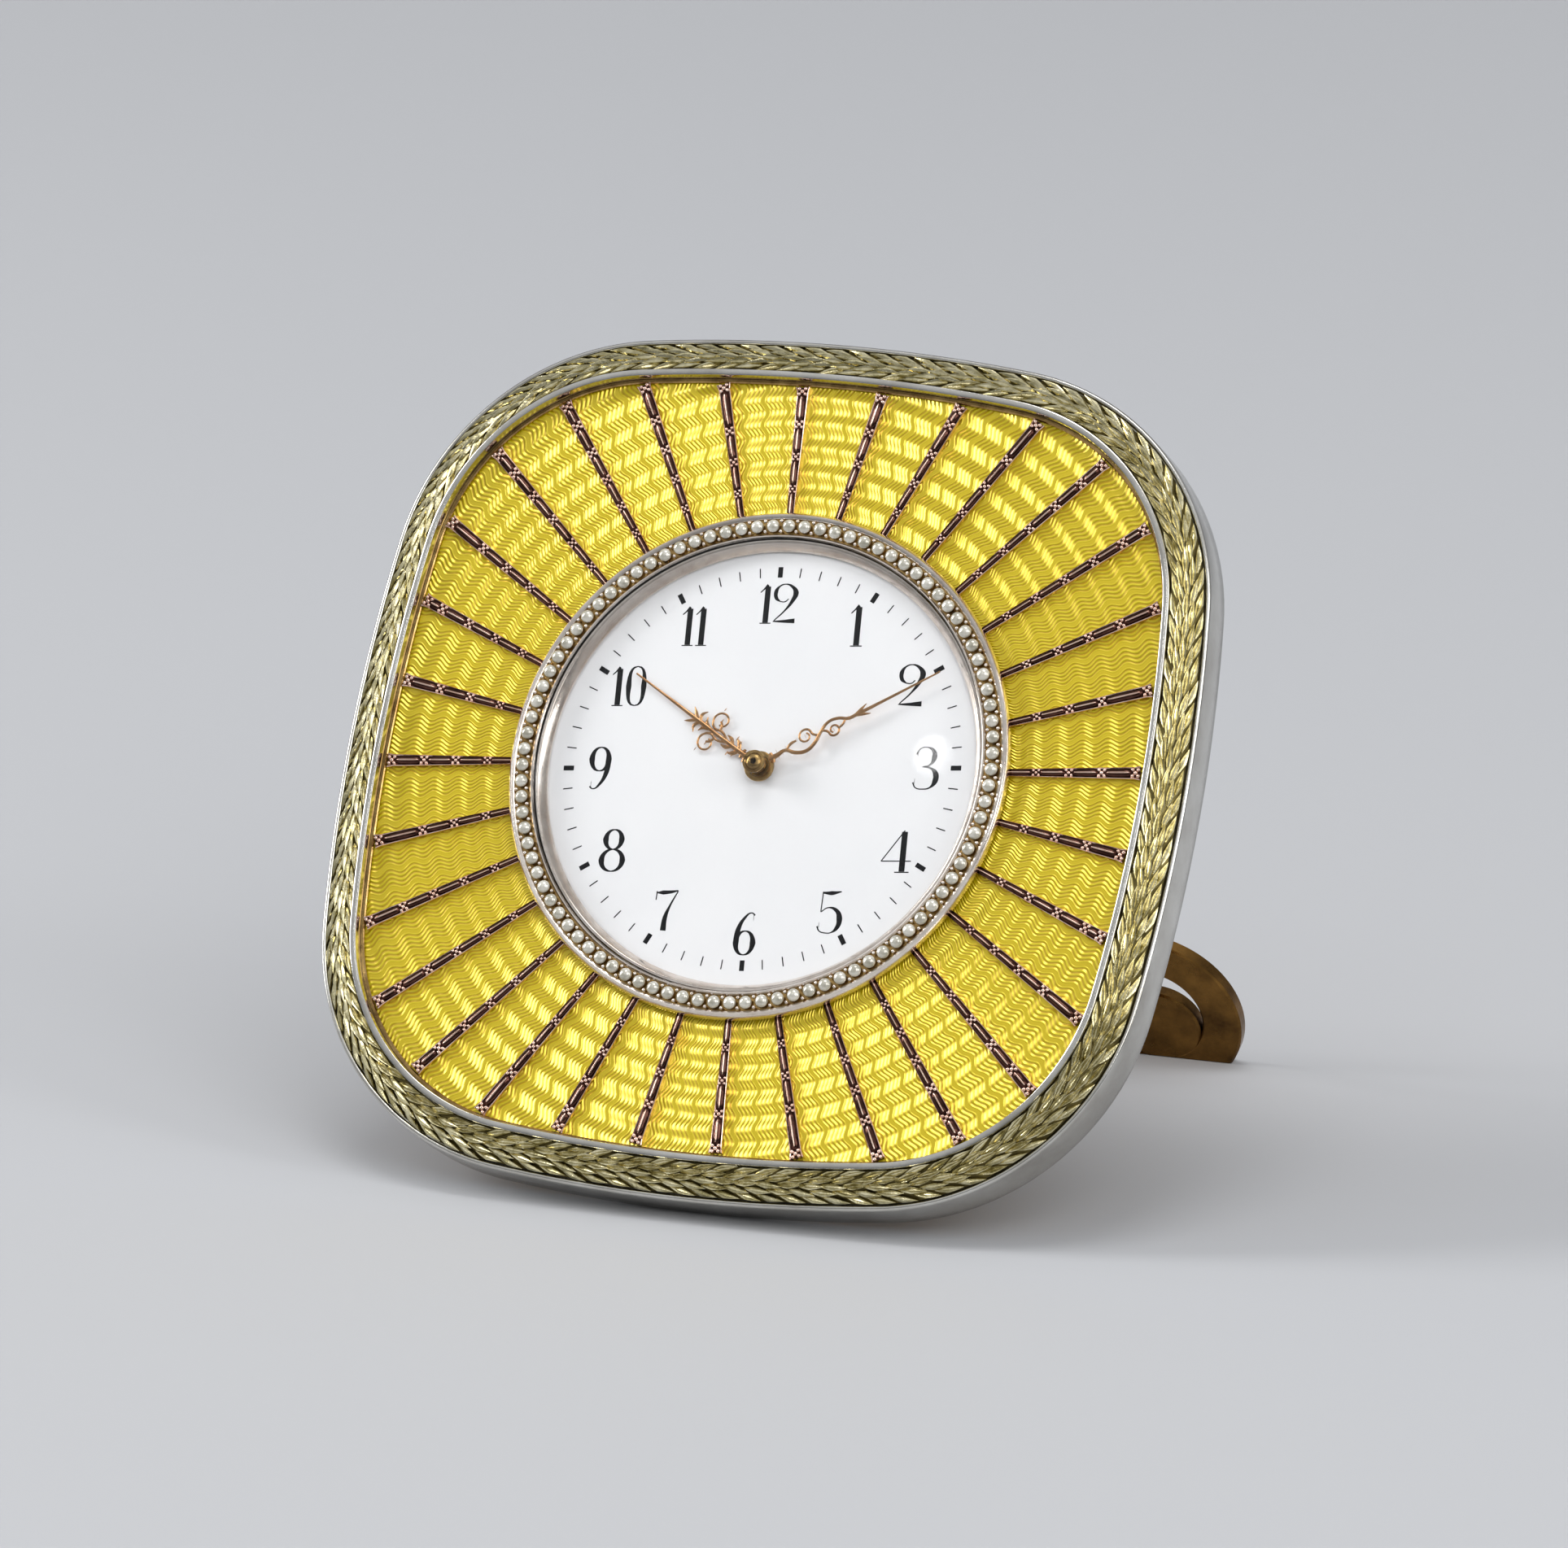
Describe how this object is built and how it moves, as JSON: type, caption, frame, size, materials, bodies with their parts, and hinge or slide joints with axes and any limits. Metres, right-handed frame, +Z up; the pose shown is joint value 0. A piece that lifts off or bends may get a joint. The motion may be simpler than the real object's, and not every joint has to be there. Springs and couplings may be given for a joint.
{
  "type": "desk clock",
  "caption": "Small strut desk clock: rounded square case, sunray enamel panel, laurel border, pearl bezel, white dial, scroll hands and a wound movement with a folding back strut.",
  "frame": {"origin": "middle of the base on the table, under the centre of the bounding box", "axes": "+Z up, the face looks along -Y and leans back, +X to the right of the face"},
  "size_m": [0.1062, 0.0916, 0.0949],
  "materials": {
    "silver": "polished silver",
    "laurel_gold": "chased green and yellow gold",
    "rose_gold": "polished rose gold",
    "hand_gold": "pierced gold",
    "yellow_enamel": "translucent enamel over engine turning",
    "white_enamel": "gloss white enamel",
    "pearl": "pearl lustre",
    "crystal": "clear",
    "gilt": "aged gilding",
    "brass": "brushed",
    "steel": "polished"
  },
  "bodies": {
    "case": {"case_band": "silver", "laurel_border": "laurel_gold", "border_fillet": "silver", "panel_ledge": "rose_gold", "enamel_panel": "yellow_enamel", "sunray_fret": "rose_gold", "bezel_ring": "rose_gold", "pearl_ring": "pearl", "inner_bezel": "silver", "crystal": "crystal", "dial": "white_enamel", "back_plate": "gilt", "back_screw_1": "gilt", "back_screw_2": "gilt", "back_screw_3": "gilt", "back_screw_4": "gilt", "movement_drum": "gilt", "drum_cap": "gilt", "dial_plate": "brass", "rear_plate": "brass", "pillar_1": "brass", "pillar_2": "brass", "pillar_3": "brass", "balance_cock": "brass", "cock_screw": "steel", "click_spring": "steel", "hinge_leaf": "gilt", "hinge_pin": "steel", "hinge_screw_1": "gilt", "hinge_screw_2": "gilt"},
    "strut": {"strut": "gilt"},
    "minute": {"minute_hand": "hand_gold", "minute_collet": "hand_gold", "set_arbor": "steel", "set_knob": "gilt"},
    "hour": {"hour_hand": "hand_gold", "hour_collet": "hand_gold", "hour_wheel": "brass"},
    "motion_wheel": {"minute_wheel": "brass"},
    "barrel": {"barrel": "brass", "barrel_cover": "brass", "mainspring": "steel"},
    "winding": {"barrel_arbor": "steel", "ratchet_wheel": "steel", "winding_key": "gilt"},
    "click": {"click": "steel"},
    "centre": {"centre_pinion": "steel", "centre_wheel": "brass"},
    "third": {"third_pinion": "steel", "third_wheel": "brass"},
    "fourth": {"fourth_pinion": "steel", "fourth_wheel": "brass"},
    "escape": {"escape_pinion": "steel", "escape_wheel": "brass"},
    "lever": {"pallet_lever": "steel"},
    "balance": {"balance_wheel": "brass", "balance_staff": "steel", "hairspring": "steel"}
  },
  "joints": [
    {"name": "strut_fold", "type": "hinge", "parent": "case", "child": "strut", "pos_m": [0, 0.00747, 0.07753], "axis": [1, 0, 0], "range_deg": [-55.64, 0]},
    {"name": "minute_hand_turn", "type": "hinge", "parent": "case", "child": "minute", "pos_m": [0, -0.01318, 0.04557], "axis": [0, -0.866, 0.5], "continuous": true},
    {"name": "hour_hand_turn", "type": "hinge", "parent": "case", "child": "hour", "pos_m": [0, -0.01318, 0.04557], "axis": [0, -0.866, 0.5], "continuous": true},
    {"name": "motion_wheel_turn", "type": "hinge", "parent": "case", "child": "motion_wheel", "pos_m": [-0.0047, -0.01403, 0.04409], "axis": [0, -0.866, 0.5], "continuous": true},
    {"name": "fourth_wheel_turn", "type": "hinge", "parent": "case", "child": "fourth", "pos_m": [0.00418, -0.01718, 0.03864], "axis": [0, -0.866, 0.5], "continuous": true},
    {"name": "third_wheel_turn", "type": "hinge", "parent": "case", "child": "third", "pos_m": [0.00677, -0.01441, 0.04344], "axis": [0, -0.866, 0.5], "continuous": true},
    {"name": "centre_wheel_turn", "type": "hinge", "parent": "case", "child": "centre", "pos_m": [0, -0.01318, 0.04557], "axis": [0, -0.866, 0.5], "continuous": true},
    {"name": "barrel_turn", "type": "hinge", "parent": "case", "child": "barrel", "pos_m": [-0.00525, -0.00863, 0.05345], "axis": [0, -0.866, 0.5], "continuous": true},
    {"name": "escape_wheel_turn", "type": "hinge", "parent": "case", "child": "escape", "pos_m": [-0.00102, -0.01764, 0.03784], "axis": [0, -0.866, 0.5], "continuous": true},
    {"name": "winding_turn", "type": "hinge", "parent": "case", "child": "winding", "pos_m": [-0.00525, -0.00863, 0.05345], "axis": [0, -0.866, 0.5], "continuous": true},
    {"name": "click_pivot", "type": "hinge", "parent": "case", "child": "click", "pos_m": [-0.00194, -0.00576, 0.05842], "axis": [0, -0.866, 0.5], "range_deg": [0, 8], "stiffness_Nm_per_rad": 0.001, "springref_deg": -5.73},
    {"name": "lever_swing", "type": "hinge", "parent": "case", "child": "lever", "pos_m": [-0.00521, -0.01801, 0.0372], "axis": [0, -0.866, 0.5], "range_deg": [-5, 5]},
    {"name": "balance_swing", "type": "hinge", "parent": "case", "child": "balance", "pos_m": [-0.0099, -0.01715, 0.03868], "axis": [0, -0.866, 0.5], "range_deg": [-135, 135], "stiffness_Nm_per_rad": 0.0000021}
  ],
  "couplings": [
    {"joint": "hour_hand_turn", "follows": "minute_hand_turn", "ratio": 0.083333},
    {"joint": "motion_wheel_turn", "follows": "minute_hand_turn", "ratio": -0.33333},
    {"joint": "third_wheel_turn", "follows": "fourth_wheel_turn", "ratio": -0.13333},
    {"joint": "centre_wheel_turn", "follows": "fourth_wheel_turn", "ratio": 0.016667},
    {"joint": "barrel_turn", "follows": "fourth_wheel_turn", "ratio": -0.0027778},
    {"joint": "escape_wheel_turn", "follows": "fourth_wheel_turn", "ratio": -10}
  ]
}
